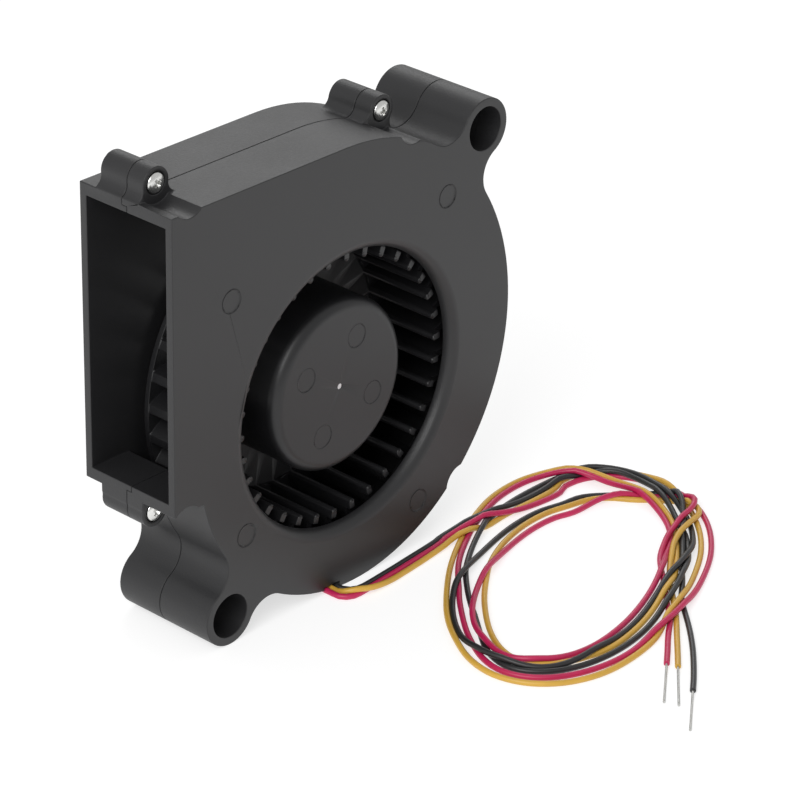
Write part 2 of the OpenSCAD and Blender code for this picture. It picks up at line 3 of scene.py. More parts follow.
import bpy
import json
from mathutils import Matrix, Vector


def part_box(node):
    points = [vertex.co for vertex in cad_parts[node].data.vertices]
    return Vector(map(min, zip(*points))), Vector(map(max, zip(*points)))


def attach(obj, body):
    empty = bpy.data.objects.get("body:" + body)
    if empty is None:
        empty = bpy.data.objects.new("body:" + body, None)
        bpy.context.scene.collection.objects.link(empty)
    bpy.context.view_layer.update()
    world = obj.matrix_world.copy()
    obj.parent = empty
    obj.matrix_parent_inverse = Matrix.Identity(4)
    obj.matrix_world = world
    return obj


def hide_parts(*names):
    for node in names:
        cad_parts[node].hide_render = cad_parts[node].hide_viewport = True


bl_info = {
    "name": "DC blower fan",
    "version": (1, 0, 0),
    "blender": (4, 5, 0),
    "location": "View3D > Sidebar > Blower",
    "description": "Dresses the blower's CAD frame with its finished pieces, leads and studio",
    "category": "Object",
}

import json
from math import cos, hypot, pi, radians, sin

import bmesh
import bpy
import numpy as np
from bpy.props import FloatProperty, FloatVectorProperty, IntProperty, PointerProperty
from mathutils import Matrix, Vector

MM = 0.001

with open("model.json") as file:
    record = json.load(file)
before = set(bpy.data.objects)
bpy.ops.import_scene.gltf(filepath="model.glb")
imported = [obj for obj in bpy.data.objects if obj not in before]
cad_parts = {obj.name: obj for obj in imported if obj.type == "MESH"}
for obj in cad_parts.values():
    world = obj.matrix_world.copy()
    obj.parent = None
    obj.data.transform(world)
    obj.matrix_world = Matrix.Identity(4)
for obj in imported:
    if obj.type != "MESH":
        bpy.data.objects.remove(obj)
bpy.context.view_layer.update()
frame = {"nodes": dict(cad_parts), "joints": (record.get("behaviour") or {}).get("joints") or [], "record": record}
SPIN = Vector(frame["joints"][0]["pos_m"])
MOUNTS = {mount["name"]: mount for mount in frame["record"]["mounts"]}
HOUSING_LOW, HOUSING_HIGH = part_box("front_cover")
CASING_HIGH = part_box("rear_casing")[1]
LEADS = ("black", "red", "yellow")


# ---------------------------------------------------------------- leads: routes

LEAD_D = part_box("lead_black_tail")[1].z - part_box("lead_black_tail")[0].z

# Points on the surface, in millimetres: from the fan to the loops, and from the loops to the end
RUNS = {
    "black": [(-2.5, -19.4), (-.2, -20.5), (3.4, -20.6), (8, -20.3), (14, -19.9), (20, -19.4),
              (26, -19), (32, -18.6), (38, -18.3)],
    "red": [(-6.9, -19.6), (-5.7, -21.5), (-2.9, -22.5), (2, -22.4), (8, -22), (14, -21.6),
            (20, -21.1), (26, -20.7), (32, -20.3), (38, -20)],
    "yellow": [(-5.1, -19), (-4.4, -20.9), (-2.2, -22.7), (2, -23.8), (8, -23.9), (14, -23.4),
               (20, -22.9), (26, -22.4), (32, -22), (38, -21.7)],
}
TAILS = {
    "black": [(56, -82.4), (51, -87.4), (46, -92.5), (41, -97.3), (36, -101.8), (31, -106),
              (26, -110), (21.2, -113.6)],
    "red": [(50, -81.2), (46, -84.8), (41.5, -88.7), (36.5, -92.8), (31.5, -97), (26.6, -100.9)],
    "yellow": [(51.5, -83), (47.5, -86.7), (42.5, -91), (37.5, -95.3), (32.5, -99.6), (27.5, -103.8)],
}
# Where each lead crosses from the loops' inside to their outside and back over them
WRAPS = {
    "black": [(78, -30.5, .15), (87, -38, .15), (93.5, -43.5, .15), (96, -48, 3), (94, -52.5, 7.5),
              (88.5, -57, 7.5), (80.5, -62.6, 6.5), (72, -69.5, 2), (63.5, -76.2, .1)],
    "red": [(80, -35.5, .25), (88.5, -42, .25), (94, -48, .25), (95.2, -53, 4), (92, -57, 9),
            (84.5, -59.8, 9), (76, -62.4, 7), (68, -66.6, 2), (59, -73.6, .1)],
    "yellow": [(80, -33.5, .2), (88, -42, .2), (93.2, -51, .2), (93.8, -56.5, 4), (90.3, -60, 8),
               (83, -61.6, 8), (75, -64.4, 7), (67, -69.4, 2), (59, -76.4, .1)],
}
# How the strands order themselves where the run starts and where it ends
RUN_LAYERS = {"black": (4.2, 4.2), "red": (4, 4), "yellow": (5, 3.5)}
# The loops follow one long round middle line. Each pair is how far the strand lies outside
# that line and its layer among the others, every 45 degrees from where the run joins.
LOOPS_MIDDLE, LOOPS_LONG, LOOPS_WIDE, LOOPS_TURN = (43, -51.6), 53.7, 30.3, 29.4
STRANDS = {
    "black": [(-5.8, 3), (2.2, 1.5), (1.6, 1.5), (.4, 1.8), (-1.4, 1.8), (-4, 1.8), (-8.6, 1.8), (-5.5, 2.4),
              (-3.4, 3.5), (2.8, 2.5), (4.2, 2.5), (-3.2, 5), (-3.7, 5), (-3.6, 5), (-2.8, 5), (-9.5, 5),
              (-14.3, 3)],
    "red": [(-9.5, 3.5), (2, .5), (9, 1), (4.8, 2), (1.6, 2), (-.6, 2), (-5.5, 1.8), (-2.7, 2.2),
            (.8, 5), (-4.5, 5.5), (-1, 4), (-5.5, 4), (-6.6, 4), (-6, 4), (-8.5, 4.5), (-14.5, 6.5),
            (-19.5, 3)],
    "yellow": [(-7.5, 1), (4, 1), (6.8, 1.2), (2.8, 1.5), (4.2, 1.5), (2, 1.5), (-2.5, 1.5), (-1.5, 2),
               (2.5, 4.5), (-2.2, 5), (.5, 3), (-1.8, 2.5), (-4, 2.5), (-7.5, 2.5), (-11.7, 5), (-12.5, 6),
               (-15.8, 3)],
}
STEP = 1
EASY_BEND = 4


def on_loop(turn, grow):
    """The point at a turn round the loops' middle line, moved out along its normal."""
    t = radians(turn)
    normal = Vector((cos(t) / LOOPS_LONG, sin(t) / LOOPS_WIDE)).normalized()
    along = LOOPS_LONG * cos(t) + grow * normal.x
    across = LOOPS_WIDE * sin(t) + grow * normal.y
    c, s = cos(radians(LOOPS_TURN)), sin(radians(LOOPS_TURN))
    return LOOPS_MIDDLE[0] + along * c - across * s, LOOPS_MIDDLE[1] + along * s + across * c


def smooth_through(knots, steps):
    """A smooth line through the knots, with that many points in each gap."""
    k = np.array(knots, float)
    p = np.vstack([2 * k[0] - k[1], k, 2 * k[-1] - k[-2]])
    t = np.linspace(0, 1, steps, endpoint=False)[:, None]
    parts = []
    for a, b, c, d in zip(p, p[1:], p[2:], p[3:]):
        parts.append(.5 * (2 * b + (c - a) * t + (2 * a - 5 * b + 4 * c - d) * t ** 2
                           + (3 * b - a - 3 * c + d) * t ** 3))
    return np.vstack(parts + [k[-1:]])


def evenly(points, step):
    """The same line with points one step apart in plan."""
    p = np.array(points)
    run = np.r_[0, np.cumsum(np.hypot(*np.diff(p[:, :2], axis=0).T))]
    where = np.linspace(0, run[-1], int(round(run[-1] / step)) + 1)
    return np.stack([np.interp(where, run, p[:, k]) for k in range(p.shape[1])], 1)


def eased(points, radius):
    """The line with every bend in plan opened to about that radius."""
    q = points.copy()
    for _ in range(80):
        bow = (q[:-2, :2] + q[2:, :2]) / 2 - q[1:-1, :2]
        size = np.linalg.norm(bow, axis=1, keepdims=True) + 1e-9
        q[1:-1, :2] += .5 * bow * np.clip(1 - STEP ** 2 / (2 * radius) / size, 0, 1)
    return q


def groove_end(colour):
    """Where a lead leaves the groove under the scroll, in millimetres."""
    low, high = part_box("lead_%s_inside" % colour)
    return (low.x + high.x) / 2 / MM, low.y / MM


def lead_plan(colour):
    """Plan position and layer along one lead, from the fan to the end of its insulation."""
    x, y = groove_end(colour)
    run, (first, last) = [(x, y), (x, y - 1.9)] + RUNS[colour], RUN_LAYERS[colour]
    knots = [(x, y, first + (last - first) * i / (len(run) - 1)) for i, (x, y) in enumerate(run)]
    turns = [35 - 45 * i for i in range(len(STRANDS[colour]))]
    strand = smooth_through([(t, grow, layer) for t, (grow, layer) in zip(turns, STRANDS[colour])], 3)
    knots += [(*on_loop(t, grow), layer) for t, grow, layer in strand]
    knots += WRAPS[colour] + [(x, y, .1) for x, y in TAILS[colour]]
    return evenly(eased(evenly(smooth_through(knots, 8), STEP), EASY_BEND), STEP)


def near_pairs(p, lead, reach):
    """Pairs of points closer than reach that aren't neighbours along one lead."""
    upper, lower = [], []
    for i in range(0, len(p), 256):
        gap = np.linalg.norm(p[i:i + 256, None] - p[None], axis=2)
        a, b = np.nonzero(gap < reach)
        a += i
        keep = (b < a) & ((lead[a] != lead[b]) | (a - b > 5))
        upper.append(a[keep])
        lower.append(b[keep])
    return np.concatenate(upper), np.concatenate(lower)


def settle_leads(rounds=420, lift=1.15):
    """Lets the three leads sink from their layers onto the surface and onto each other."""
    plans = [lead_plan(colour) for colour in LEADS]
    lead = np.concatenate([[i] * len(plan) for i, plan in enumerate(plans)])
    flat = np.vstack(plans)
    n, d = len(flat), LEAD_D / MM
    p = np.c_[flat[:, :2], d / 2 + lift * flat[:, 2]]
    same = lead[1:] == lead[:-1]
    k = np.nonzero(np.r_[False, same] & np.r_[same, False])[0]

    def bow(q):
        return (q[k - 1] + q[k + 1]) / 2 - q[k]

    rest = np.c_[bow(flat[:, :2]), np.zeros(len(k))]
    held = [np.searchsorted(lead, i) + j for i in range(len(LEADS)) for j in range(3)]
    for _ in range(40):
        p[k, 2] += .5 * bow(p)[:, 2]
    for step in range(rounds):
        if step % 8 == 0:
            upper, lower = near_pairs(p, lead, 1.25 * d)
        if step < .85 * rounds:
            p[:, 2] -= .06
        p[:, :2] += .01 * (flat[:, :2] - p[:, :2])
        for _ in range(2):
            p[k] += .45 * (bow(p) - rest)
        for _ in range(3):
            apart = p[upper] - p[lower]
            gap = np.linalg.norm(apart, axis=1) + 1e-9
            push = np.clip(1.01 * d - gap, 0, None) / 2
            apart *= (push / gap)[:, None]
            hits = np.bincount(upper[push > 0], minlength=n) + np.bincount(lower[push > 0], minlength=n)
            share = 1 / np.sqrt(np.maximum(hits, 1))
            for c in range(3):
                p[:, c] += share * (np.bincount(upper, apart[:, c], n) - np.bincount(lower, apart[:, c], n))
            p[held] = np.c_[flat[held, :2], np.full(len(held), d / 2)]
            p[:, 2] = np.maximum(p[:, 2], d / 2)
    return {colour: p[lead == i] * MM for i, colour in enumerate(LEADS)}


# ---------------------------------------------------------------- settings

class HousingSettings(bpy.types.PropertyGroup):
    """Finish of the moulded pieces"""
    edge_round: FloatProperty(name="Edge rounding", description="Radius of the moulded pieces' edges",
                              default=0.22 * MM, min=0, soft_max=1 * MM, unit="LENGTH")
    colour: FloatVectorProperty(name="Housing colour", description="Colour of the housing's plastic",
                                default=(0.013, 0.013, 0.014), size=3, subtype="COLOR", min=0, max=1)
    wheel_colour: FloatVectorProperty(name="Impeller colour", description="Colour of the impeller's plastic",
                                      default=(0.01, 0.01, 0.011), size=3, subtype="COLOR", min=0, max=1)
    grain: FloatProperty(name="Grain", description="Depth of the spark-eroded grain on the side walls",
                         default=0.05 * MM, min=0, soft_max=0.1 * MM, unit="LENGTH")


class LeadSettings(bpy.types.PropertyGroup):
    """Colours and rest of the leads"""
    black: FloatVectorProperty(name="Black", description="Colour of the black lead", size=3,
                               default=(0.018, 0.018, 0.019), subtype="COLOR", min=0, max=1)
    red: FloatVectorProperty(name="Red", description="Colour of the red lead", size=3,
                             default=(0.50, 0.012, 0.085), subtype="COLOR", min=0, max=1)
    yellow: FloatVectorProperty(name="Yellow", description="Colour of the yellow lead", size=3,
                                default=(0.62, 0.36, 0.05), subtype="COLOR", min=0, max=1)
    rounds: IntProperty(name="Settling", description="Steps in which the leads sink onto the surface",
                        default=420, min=50, max=2000)
    strands: IntProperty(name="Strands", description="Tinned strands in each stripped end",
                         default=7, min=3, max=19)


class StudioSettings(bpy.types.PropertyGroup):
    """Camera and light"""
    lens: FloatProperty(name="Lens", description="Focal length of the camera", default=165.8, unit="CAMERA")
    heading: FloatProperty(name="Heading", description="Turn of the view from +Y towards +X",
                           default=radians(47.81), subtype="ANGLE")
    tilt: FloatProperty(name="Tilt", description="How far the camera looks down", default=radians(27.37),
                        subtype="ANGLE")
    roll: FloatProperty(name="Roll", description="Turn of the camera about its view", default=radians(1.19),
                        subtype="ANGLE")
    world: FloatProperty(name="Room light", description="Strength of the light from all round",
                         default=0.6, min=0)
    key: FloatProperty(name="Key light", description="Power of the large soft light", default=9, unit="POWER")
    floor: FloatProperty(name="Floor light", description="Light that the backlit floor gives off",
                         default=0.65, min=0)


# ---------------------------------------------------------------- materials

def plug(tree, value, socket):
    """Sets a socket to a number or colour, or links it to a value."""
    if isinstance(value, Value):
        tree.links.new(value.socket, socket)
    elif hasattr(value, "__len__") and len(socket.default_value) == 4 and len(value) == 3:
        socket.default_value = (*value, 1)
    else:
        socket.default_value = value


class Value:
    """An output in a material's node tree. Sums and products of values add Math nodes."""

    def __init__(self, tree, socket):
        self.tree = tree
        self.socket = socket

    def combine(self, operation, *values):
        node = self.tree.nodes.new("ShaderNodeMath")
        node.operation = operation
        for value, socket in zip(values, node.inputs):
            plug(self.tree, value, socket)
        return Value(self.tree, node.outputs[0])

    def __add__(self, other):
        return self.combine("ADD", self, other)

    def __radd__(self, other):
        return self.combine("ADD", other, self)

    def __sub__(self, other):
        return self.combine("SUBTRACT", self, other)

    def __rsub__(self, other):
        return self.combine("SUBTRACT", other, self)

    def __mul__(self, other):
        return self.combine("MULTIPLY", self, other)

    def __rmul__(self, other):
        return self.combine("MULTIPLY", other, self)

    def __abs__(self):
        return self.combine("ABSOLUTE", self)

    def __lt__(self, other):
        return self.combine("LESS_THAN", self, other)


class Finish:
    """One material: a Principled surface and the nodes that feed it."""

    def __init__(self, name, **sockets):
        self.material = bpy.data.materials.new(name)
        self.material.use_nodes = True
        self.tree = self.material.node_tree
        self.surface = self.tree.nodes["Principled BSDF"]
        self.set(**sockets)

    def set(self, **sockets):
        """Sets the surface's sockets, named with _ for a space."""
        for name, value in sockets.items():
            plug(self.tree, value, self.surface.inputs[name.replace("_", " ")])

    def add(self, kind, settings=None, sockets=None, out=0):
        """Adds a node: its settings first, then its sockets' values or links."""
        node = self.tree.nodes.new("ShaderNode" + kind)
        for name, value in (settings or {}).items():
            setattr(node, name, value)
        for name, value in (sockets or {}).items():
            plug(self.tree, value, node.inputs[name])
        return Value(self.tree, node.outputs[out])

    def place(self):
        return self.add("TexCoord", out=3)

    def noise(self, size, detail=2, roughness=.5, place=None):
        """Noise from 0 to 1 with features of about that size."""
        return self.add("TexNoise", sockets={"Vector": place or self.place(), "Scale": 1 / size,
                                             "Detail": detail, "Roughness": roughness})

    def mix(self, factor, first, second):
        """One colour into another by a factor."""
        node = self.tree.nodes.new("ShaderNodeMix")
        node.data_type = "RGBA"
        plug(self.tree, factor, node.inputs[0])
        plug(self.tree, first, node.inputs[6])
        plug(self.tree, second, node.inputs[7])
        return Value(self.tree, node.outputs[2])

    def bump(self, height, depth, normal=None):
        sockets = {"Height": height, "Distance": depth, "Strength": 1}
        if normal:
            sockets["Normal"] = normal
        return self.add("Bump", sockets=sockets)


def shade(colour, factor):
    return tuple(min(1, c * factor) for c in colour)


def moulded_plastic(name, colour, grain, rough=.4):
    """Satin moulded plastic: fine texture on flat faces, spark-eroded grain on the side walls."""
    f = Finish(name, Specular_IOR_Level=.55)
    facing = f.add("SeparateXYZ", sockets={"Vector": f.add("TexCoord", out=1)}, out=1)
    side = abs(facing) < .5
    coarse = f.noise(.6 * MM, 3, .6)
    fine = f.noise(.16 * MM, 2, .5)
    cloud = f.noise(16 * MM, 3, .55)
    speck = side * coarse
    f.set(Base_Color=f.mix(cloud * .5 + speck * .5, shade(colour, .86), shade(colour, 1.32)),
          Roughness=rough + cloud * .07 + speck * .12,
          Normal=f.bump(side * coarse * 1.0 + fine * .12, grain))
    return f.material


def smooth_plastic(name, colour, rough=.35):
    """Moulded plastic with a finer, slightly glossier skin."""
    f = Finish(name, Specular_IOR_Level=.5)
    fine = f.noise(.2 * MM, 2, .5)
    cloud = f.noise(9 * MM, 3, .5)
    f.set(Base_Color=f.mix(cloud, shade(colour, .85), shade(colour, 1.2)),
          Roughness=rough + cloud * .08, Normal=f.bump(fine, .006 * MM))
    return f.material


def plated_metal(name, colour, rough=.24, scratch=.35):
    """Plated or ground metal with fine marks."""
    f = Finish(name, Metallic=1)
    place = f.add("Mapping", sockets={"Vector": f.place(), "Scale": (1, 6, 1)})
    marks = f.noise(.35 * MM, 3, .65, place)
    cloud = f.noise(2.5 * MM, 2, .5)
    f.set(Base_Color=f.mix(cloud, shade(colour, .86), shade(colour, 1.08)),
          Roughness=rough + marks * scratch * .3, Normal=f.bump(marks, .004 * MM))
    return f.material


def lead_insulation(name, colour):
    """Extruded soft plastic: an even colour with a dull sheen."""
    f = Finish(name, Specular_IOR_Level=.5)
    cloud = f.noise(7 * MM, 2, .5)
    fine = f.noise(.35 * MM, 2, .5)
    f.set(Base_Color=f.mix(cloud, shade(colour, .86), shade(colour, 1.12)),
          Roughness=.34 + cloud * .1, Normal=f.bump(fine, .008 * MM))
    return f.material


def laminations(name, colour):
    """Edges of stacked steel sheets, half a millimetre each."""
    f = Finish(name, Metallic=.8)
    depth = f.add("SeparateXYZ", sockets={"Vector": f.place()}, out=1)
    sheet = (depth * (2 * pi / (.5 * MM))).combine("SINE", depth * (2 * pi / (.5 * MM)))
    f.set(Base_Color=f.mix(f.noise(1.5 * MM), shade(colour, .7), colour), Roughness=.45,
          Normal=f.bump(sheet, .04 * MM))
    return f.material


def magnet_ferrite(name, colour):
    """Sintered or bonded magnet: dark, dull and slightly grainy."""
    f = Finish(name, Specular_IOR_Level=.4)
    grains = f.noise(.3 * MM, 4, .7)
    f.set(Base_Color=f.mix(grains, shade(colour, .7), shade(colour, 1.4)), Roughness=.6 + grains * .2,
          Normal=f.bump(grains, .02 * MM))
    return f.material


def board_mask(name, colour):
    """Green solder mask over copper tracks."""
    f = Finish(name, Coat_Weight=.5, Coat_Roughness=.12)
    tracks = f.add("TexVoronoi", {"feature": "DISTANCE_TO_EDGE"}, {"Vector": f.place(), "Scale": 260})
    line = tracks < .07
    f.set(Base_Color=f.mix(line, colour, shade(colour, 1.7)), Roughness=.38 + line * .1,
          Normal=f.bump(line, .03 * MM))
    return f.material


def blank_label(name, colour):
    """Blank metallised film with a satin face."""
    f = Finish(name, Metallic=.35)
    fibres = f.noise(.5 * MM, 3, .6)
    f.set(Base_Color=f.mix(fibres, shade(colour, .94), shade(colour, 1.05)), Roughness=.36 + fibres * .1,
          Normal=f.bump(fibres, .006 * MM))
    return f.material


# ---------------------------------------------------------------- pieces

def link(name, data):
    obj = bpy.data.objects.new(name, data)
    bpy.context.scene.collection.objects.link(obj)
    return obj


def applied(obj):
    """The object with its modifiers made real."""
    bpy.context.view_layer.update()
    view = obj.evaluated_get(bpy.context.evaluated_depsgraph_get())
    mesh = bpy.data.meshes.new_from_object(view)
    obj.modifiers.clear()
    obj.data = mesh
    return obj


def stand_in_for(obj, body, slot, *nodes):
    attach(obj, body)
    if nodes:
        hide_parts(*nodes)
    return obj


def moulding(node, name, edge_round, material, least_edge=.3 * MM):
    """A copy of a CAD node with whole flat faces and rounded edges."""
    mesh = frame["nodes"][node].data.copy()
    bm = bmesh.new()
    bm.from_mesh(mesh)
    bmesh.ops.remove_doubles(bm, verts=bm.verts, dist=.002 * MM)
    bmesh.ops.dissolve_limit(bm, angle_limit=radians(.8), verts=bm.verts, edges=bm.edges)
    bmesh.ops.triangulate(bm, faces=[face for face in bm.faces if len(face.verts) > 4])
    weight = bm.edges.layers.float.new("bevel_weight_edge")
    for edge in bm.edges:
        sharp = len(edge.link_faces) == 2 and edge.calc_face_angle(0) > radians(28)
        edge[weight] = float(sharp and edge.calc_length() > least_edge)
    bm.to_mesh(mesh)
    bm.free()
    obj = link(name, mesh)
    mesh.materials.clear()
    mesh.materials.append(material)
    bevel = obj.modifiers.new("round", "BEVEL")
    bevel.limit_method = "WEIGHT"
    bevel.width = edge_round
    bevel.segments = 2
    bevel.use_clamp_overlap = False
    applied(obj)
    obj.data.shade_smooth()
    smooth = obj.modifiers.new("normals", "WEIGHTED_NORMAL")
    smooth.keep_sharp = True
    smooth.weight = 90
    return applied(obj)


def curve_piece(name, lines, radius, material, resolution=3):
    """Round wire along each line of points."""
    curve = bpy.data.curves.new(name, "CURVE")
    curve.dimensions = "3D"
    curve.bevel_depth = radius
    curve.bevel_resolution = resolution
    curve.use_fill_caps = True
    for line in lines:
        spline = curve.splines.new("POLY")
        spline.points.add(len(line) - 1)
        spline.points.foreach_set("co", np.c_[line, np.ones(len(line))].ravel())
        spline.use_smooth = True
    curve.materials.append(material)
    return link(name, curve)


class BLOWER_OT_housing(bpy.types.Operator):
    """Makes the two moulded halves of the housing"""
    bl_idname = "blower.housing"
    bl_label = "Housing"

    def execute(self, context):
        look = context.scene.blower_housing
        plastic = moulded_plastic("charcoal_plastic", look.colour, look.grain)
        for node, slot in (("front_cover", "housing_front"), ("rear_casing", "housing_rear")):
            piece = moulding(node, node + "_moulding", look.edge_round, plastic)
            stand_in_for(piece, "housing", slot, node)
        return {"FINISHED"}


def solids(node):
    """Low and high corners of each separate solid of a CAD node."""
    bm = bmesh.new()
    bm.from_mesh(frame["nodes"][node].data)
    bmesh.ops.remove_doubles(bm, verts=bm.verts, dist=.002 * MM)
    left = set(bm.verts)
    boxes = []
    while left:
        reached = {left.pop()}
        found = list(reached)
        while found:
            for edge in found.pop().link_edges:
                for vert in edge.verts:
                    if vert in left:
                        left.discard(vert)
                        reached.add(vert)
                        found.append(vert)
        points = np.array([vert.co for vert in reached])
        boxes.append((Vector(points.min(0)), Vector(points.max(0))))
    bm.free()
    return boxes


def turned_solid(profile, steps=48):
    """A closed solid from a profile of radius and depth, turned about Y."""
    bm = bmesh.new()
    verts = [bm.verts.new((radius, depth, 0)) for radius, depth in profile]
    edges = [bm.edges.new(pair) for pair in zip(verts, verts[1:])]
    bmesh.ops.spin(bm, geom=verts + edges, axis=(0, 1, 0), cent=(0, 0, 0), steps=steps, angle=2 * pi)
    bmesh.ops.remove_doubles(bm, verts=bm.verts, dist=1e-7)
    bmesh.ops.recalc_face_normals(bm, faces=bm.faces)
    return bm


def screw_mesh(head_r, head_h, length):
    """A pan head screw with a cross recess and a coarse thread; the head sits on depth 0."""
    dome = [(0, -head_h)] + [(head_r * sin(a), -head_h * (.42 + .58 * cos(a)))
                             for a in (.3, .6, .85, 1.05, 1.2, 1.35, 1.5)]
    shank, core, pitch = .52 * head_r, .4 * head_r, .3 * head_r
    turns = int(length / pitch) - 2
    thread = [point for i in range(turns)
              for point in ((core, (i + .6) * pitch), (shank, (i + 1) * pitch), (core, (i + 1.2) * pitch))]
    profile = dome + [(head_r, -.12 * head_h), (.97 * head_r, 0), (shank, 0)] + thread
    bm = turned_solid(profile + [(.6 * core, length - .4 * pitch), (0, length)])
    mesh = bpy.data.meshes.new("screw")
    bm.to_mesh(mesh)
    bm.free()
    cut = bmesh.new()
    for turn in (0, pi / 2):
        wing = bmesh.ops.create_cube(cut, size=1)["verts"]
        for vert in wing:
            deep = .45 if vert.co.y > 0 else 1
            vert.co = Vector((vert.co.x * 1.25 * head_r * deep, vert.co.y * head_h * 1.5 - 1.1 * head_h,
                              vert.co.z * .3 * head_r * (.6 + .4 * deep)))
        bmesh.ops.rotate(cut, verts=wing, matrix=Matrix.Rotation(turn, 3, "Y"))
    recess = bpy.data.meshes.new("recess")
    cut.to_mesh(recess)
    cut.free()
    screw, cutter = link("screw", mesh), link("recess", recess)
    hollow = screw.modifiers.new("recess", "BOOLEAN")
    hollow.object = cutter
    hollow.use_self = True
    applied(screw)
    soft = screw.modifiers.new("soft", "BEVEL")
    soft.width = .02 * head_r
    soft.segments = 2
    soft.angle_limit = radians(40)
    applied(screw)
    bpy.data.objects.remove(cutter)
    return screw


def copies_at(name, piece, places, turns, material):
    """Copies of a piece at the places, made by a node tree that turns each by its own angle."""
    points = bpy.data.meshes.new(name)
    points.from_pydata(places, [], [])
    layer = points.attributes.new("turn", "FLOAT", "POINT")
    layer.data.foreach_set("value", turns)
    obj = link(name, points)
    tree = bpy.data.node_groups.new(name, "GeometryNodeTree")
    for label, kind in (("Points", "NodeSocketGeometry"), ("Piece", "NodeSocketObject"),
                        ("Finish", "NodeSocketMaterial")):
        tree.interface.new_socket(label, in_out="INPUT", socket_type=kind)
    tree.interface.new_socket("Geometry", in_out="OUTPUT", socket_type="NodeSocketGeometry")
    nodes = {}
    for kind in ("NodeGroupInput", "GeometryNodeObjectInfo", "GeometryNodeInputNamedAttribute",
                 "ShaderNodeCombineXYZ", "FunctionNodeEulerToRotation", "GeometryNodeInstanceOnPoints",
                 "GeometryNodeRealizeInstances", "GeometryNodeSetMaterial", "NodeGroupOutput"):
        nodes[kind] = tree.nodes.new(kind)
    given, source, angle, euler, rotation, spread, real, coat, end = nodes.values()
    angle.data_type = "FLOAT"
    angle.inputs["Name"].default_value = "turn"
    for start, finish in ((given.outputs["Points"], spread.inputs["Points"]),
                          (given.outputs["Piece"], source.inputs["Object"]),
                          (source.outputs["Geometry"], spread.inputs["Instance"]),
                          (angle.outputs["Attribute"], euler.inputs["Y"]),
                          (euler.outputs[0], rotation.inputs[0]),
                          (rotation.outputs[0], spread.inputs["Rotation"]),
                          (spread.outputs[0], real.inputs[0]),
                          (real.outputs[0], coat.inputs["Geometry"]),
                          (given.outputs["Finish"], coat.inputs["Material"]),
                          (coat.outputs[0], end.inputs[0])):
        tree.links.new(start, finish)
    modifier = obj.modifiers.new("copies", "NODES")
    modifier.node_group = tree
    sockets = {item.name: item.identifier for item in tree.interface.items_tree if item.in_out == "INPUT"}
    modifier[sockets["Piece"]] = piece
    modifier[sockets["Finish"]] = material
    return applied(obj)


class BLOWER_OT_screws(bpy.types.Operator):
    """Makes the screws that hold the two halves together"""
    bl_idname = "blower.screws"
    bl_label = "Screws"

    def execute(self, context):
        boxes = solids("housing_screws")
        low, high = boxes[0]
        head_r = (high.x - low.x) / 2
        head_h = 1.6 * MM
        screw = screw_mesh(head_r, head_h, high.y - low.y - head_h)
        places = [((a.x + b.x) / 2, a.y + head_h, (a.z + b.z) / 2) for a, b in boxes]
        turns = [.35 + 1.9 * i for i in range(len(boxes))]
        piece = copies_at("housing_screws_finish", screw, places, turns,
                          plated_metal("zinc_plate", (.78, .78, .76), .2))
        bpy.data.objects.remove(screw)
        piece.data.shade_smooth()
        piece.data.set_sharp_from_angle(angle=radians(35))
        stand_in_for(piece, "housing", "screw_steel", "housing_screws")
        return {"FINISHED"}


class BLOWER_OT_impeller(bpy.types.Operator):
    """Makes the impeller's moulding"""
    bl_idname = "blower.impeller"
    bl_label = "Impeller"

    def execute(self, context):
        look = context.scene.blower_housing
        plastic = smooth_plastic("impeller_plastic", look.wheel_colour)
        piece = moulding("impeller", "impeller_moulding", .6 * look.edge_round, plastic)
        stand_in_for(piece, "rotor", "impeller_plastic", "impeller")
        return {"FINISHED"}


class BLOWER_OT_leads(bpy.types.Operator):
    """Lays the three leads in their loops and strips their ends"""
    bl_idname = "blower.leads"
    bl_label = "Leads"

    def execute(self, context):
        look = context.scene.blower_leads
        routes = settle_leads(look.rounds)
        tinned = plated_metal("tinned_copper", (.62, .62, .6), .3)
        for colour in LEADS:
            path = routes[colour]
            skin = lead_insulation(colour + "_insulation", getattr(look, colour))
            lead = curve_piece(colour + "_lead", [path[::2]], LEAD_D / 2, skin)
            end = "lead_%s_end" % colour
            strands = self.stripped_end(colour, path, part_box(end), look.strands, tinned)
            stand_in_for(strands, "housing", "tinned_strands", end)
            nodes = ["lead_" + colour, "lead_%s_tail" % colour]
            nodes += ["lead_loops"] if colour == "black" else []
            stand_in_for(lead, "housing", "lead_" + colour, *nodes)
            inside = frame["nodes"]["lead_%s_inside" % colour]
            inside.data.materials.clear()
            inside.data.materials.append(skin)
            inside.data.shade_smooth()
        return {"FINISHED"}

    def stripped_end(self, colour, path, box, count, material):
        """Twisted bare strands from the end of the insulation down to the surface."""
        start = Vector(path[-1])
        ahead = Vector(path[-1]) - Vector(path[-4])
        ahead.z = 0
        ahead.normalize()
        length = hypot(box[1].x - box[0].x, box[1].y - box[0].y) * .985
        side = Vector((-ahead.y, ahead.x, 0))
        thread = .14 * MM
        pack = .2 * MM
        lines = []
        for k in range(count):
            ring = pack if k else 0
            line = []
            for s in np.linspace(-.06, 1, 60):
                turn = 2 * pi * (3.2 * s + k / max(1, count - 1))
                drop = (start.z - thread - pack) * min(1, max(0, s * 3)) ** 1.5
                spread = 1 + .5 * max(0, s - .8)
                middle = start + ahead * (length * s) - Vector((0, 0, drop))
                line.append(middle + (side * cos(turn) + Vector((0, 0, sin(turn)))) * ring * spread)
            lines.append(line)
        piece = curve_piece(colour + "_strands", lines, thread, material, 1)
        return as_mesh(piece)


